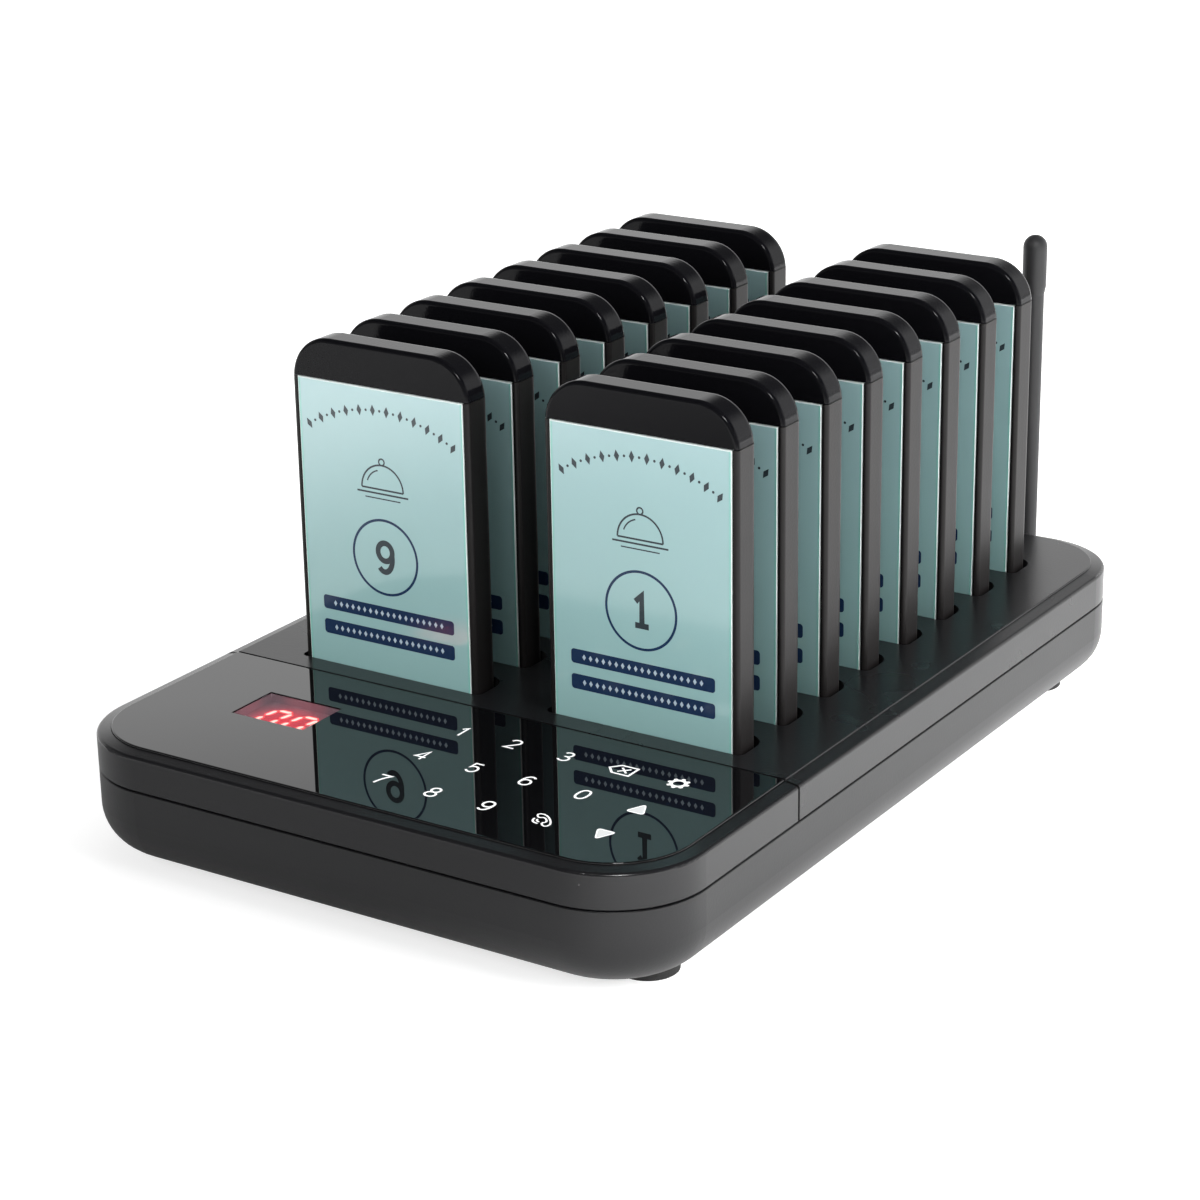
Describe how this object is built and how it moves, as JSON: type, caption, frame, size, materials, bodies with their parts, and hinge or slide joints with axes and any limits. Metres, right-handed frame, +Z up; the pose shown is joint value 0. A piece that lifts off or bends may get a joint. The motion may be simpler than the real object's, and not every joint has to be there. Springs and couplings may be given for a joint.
{
  "type": "guest pager system",
  "caption": "Counter charging base with a touch keypad, number display, tilting antenna and slim numbered pagers that lift out of two rows of wells.",
  "frame": {"origin": "middle of the object's plan outline, at the surface that it stands on", "axes": "+Z up, -Y towards the keypad end and the person who uses it, +X to that person's right"},
  "size_m": [0.182, 0.291, 0.1276],
  "materials": {
    "housing_black": "satin black moulded plastic",
    "deck_black": "fine matte black moulded plastic",
    "bezel_black": "satin black moulded plastic",
    "panel_gloss": "polished black acrylic",
    "display_smoke": "smoked clear acrylic",
    "display_red": "red number display",
    "board_green": "solder-masked circuit board",
    "board_blue": "solder-masked circuit board",
    "cable_white": "flat cable",
    "cable_black": "coaxial lead",
    "buzzer_black": "moulded buzzer",
    "contact_gold": "gold-plated contact",
    "socket_brass": "plated threaded socket",
    "jack_black": "moulded inlet",
    "switch_black": "moulded switch frame",
    "rocker_black": "moulded rocker",
    "feet_rubber": "soft rubber",
    "screw_steel": "plated steel",
    "antenna_black": "satin black moulded plastic",
    "pin_steel": "plain steel",
    "pager_black": "satin black moulded plastic",
    "cap_gloss": "glossy smoked black cap",
    "face_print": "pale teal print behind polished acrylic",
    "battery_foil": "foil cell"
  },
  "bodies": {
    "base": {"bottom_shell": "housing_black", "rear_deck": "deck_black", "front_bezel": "bezel_black", "touch_panel": "panel_gloss", "display_window": "display_smoke", "display_module": "display_red", "touch_board": "board_green", "flat_cable": "cable_white", "main_board": "board_green", "buzzer": "buzzer_black", "charge_board": "board_green", "charge_contacts": "contact_gold", "radio_module": "board_blue", "antenna_lead": "cable_black", "antenna_socket": "socket_brass", "dc_jack": "jack_black", "switch_frame": "switch_black", "feet": "feet_rubber", "case_screws": "screw_steel"},
    "power_rocker": {"switch_rocker": "rocker_black"},
    "antenna_elbow": {"antenna_swivel": "antenna_black"},
    "antenna_arm": {"antenna_rod": "antenna_black", "antenna_pin": "pin_steel"},
    "pager_01": {"pager_01_shell": "pager_black", "pager_01_cap": "cap_gloss", "pager_01_face": "face_print", "pager_01_board": "board_green", "pager_01_battery": "battery_foil", "pager_01_motor": "pin_steel", "pager_01_contacts": "contact_gold"},
    "pager_02": {"pager_02_case": "pager_black", "pager_02_face": "face_print"},
    "pager_03": {"pager_03_case": "pager_black", "pager_03_face": "face_print"},
    "pager_04": {"pager_04_case": "pager_black", "pager_04_face": "face_print"},
    "pager_05": {"pager_05_case": "pager_black", "pager_05_face": "face_print"},
    "pager_06": {"pager_06_case": "pager_black", "pager_06_face": "face_print"},
    "pager_07": {"pager_07_case": "pager_black", "pager_07_face": "face_print"},
    "pager_08": {"pager_08_case": "pager_black", "pager_08_face": "face_print"},
    "pager_09": {"pager_09_case": "pager_black", "pager_09_face": "face_print"},
    "pager_10": {"pager_10_case": "pager_black", "pager_10_face": "face_print"},
    "pager_11": {"pager_11_case": "pager_black", "pager_11_face": "face_print"},
    "pager_12": {"pager_12_case": "pager_black", "pager_12_face": "face_print"},
    "pager_13": {"pager_13_case": "pager_black", "pager_13_face": "face_print"},
    "pager_14": {"pager_14_case": "pager_black", "pager_14_face": "face_print"},
    "pager_15": {"pager_15_case": "pager_black", "pager_15_face": "face_print"},
    "pager_16": {"pager_16_case": "pager_black", "pager_16_face": "face_print"}
  },
  "joints": [
    {"name": "power_rocker_tilt", "type": "hinge", "parent": "base", "child": "power_rocker", "pos_m": [-0.05, 0.127, 0.0196], "axis": [0, 0, 1], "range_deg": [0, 20]},
    {"name": "antenna_swivel_turn", "type": "hinge", "parent": "base", "child": "antenna_elbow", "pos_m": [0.0497, 0.1419, 0.02], "axis": [0, 1, 0], "range_deg": [-90, 90]},
    {"name": "antenna_fold", "type": "hinge", "parent": "antenna_elbow", "child": "antenna_arm", "pos_m": [0.0497, 0.1419, 0.02], "axis": [1, 0, 0], "range_deg": [-90, 0]},
    {"name": "pager_01_lift", "type": "slide", "parent": "base", "child": "pager_01", "axis": [0, 0, 1], "range_m": [0, 0.12]},
    {"name": "pager_02_lift", "type": "slide", "parent": "base", "child": "pager_02", "axis": [0, 0, 1], "range_m": [0, 0.12]},
    {"name": "pager_03_lift", "type": "slide", "parent": "base", "child": "pager_03", "axis": [0, 0, 1], "range_m": [0, 0.12]},
    {"name": "pager_04_lift", "type": "slide", "parent": "base", "child": "pager_04", "axis": [0, 0, 1], "range_m": [0, 0.12]},
    {"name": "pager_05_lift", "type": "slide", "parent": "base", "child": "pager_05", "axis": [0, 0, 1], "range_m": [0, 0.12]},
    {"name": "pager_06_lift", "type": "slide", "parent": "base", "child": "pager_06", "axis": [0, 0, 1], "range_m": [0, 0.12]},
    {"name": "pager_07_lift", "type": "slide", "parent": "base", "child": "pager_07", "axis": [0, 0, 1], "range_m": [0, 0.12]},
    {"name": "pager_08_lift", "type": "slide", "parent": "base", "child": "pager_08", "axis": [0, 0, 1], "range_m": [0, 0.12]},
    {"name": "pager_09_lift", "type": "slide", "parent": "base", "child": "pager_09", "axis": [0, 0, 1], "range_m": [0, 0.12]},
    {"name": "pager_10_lift", "type": "slide", "parent": "base", "child": "pager_10", "axis": [0, 0, 1], "range_m": [0, 0.12]},
    {"name": "pager_11_lift", "type": "slide", "parent": "base", "child": "pager_11", "axis": [0, 0, 1], "range_m": [0, 0.12]},
    {"name": "pager_12_lift", "type": "slide", "parent": "base", "child": "pager_12", "axis": [0, 0, 1], "range_m": [0, 0.12]},
    {"name": "pager_13_lift", "type": "slide", "parent": "base", "child": "pager_13", "axis": [0, 0, 1], "range_m": [0, 0.12]},
    {"name": "pager_14_lift", "type": "slide", "parent": "base", "child": "pager_14", "axis": [0, 0, 1], "range_m": [0, 0.12]},
    {"name": "pager_15_lift", "type": "slide", "parent": "base", "child": "pager_15", "axis": [0, 0, 1], "range_m": [0, 0.12]},
    {"name": "pager_16_lift", "type": "slide", "parent": "base", "child": "pager_16", "axis": [0, 0, 1], "range_m": [0, 0.12]}
  ]
}
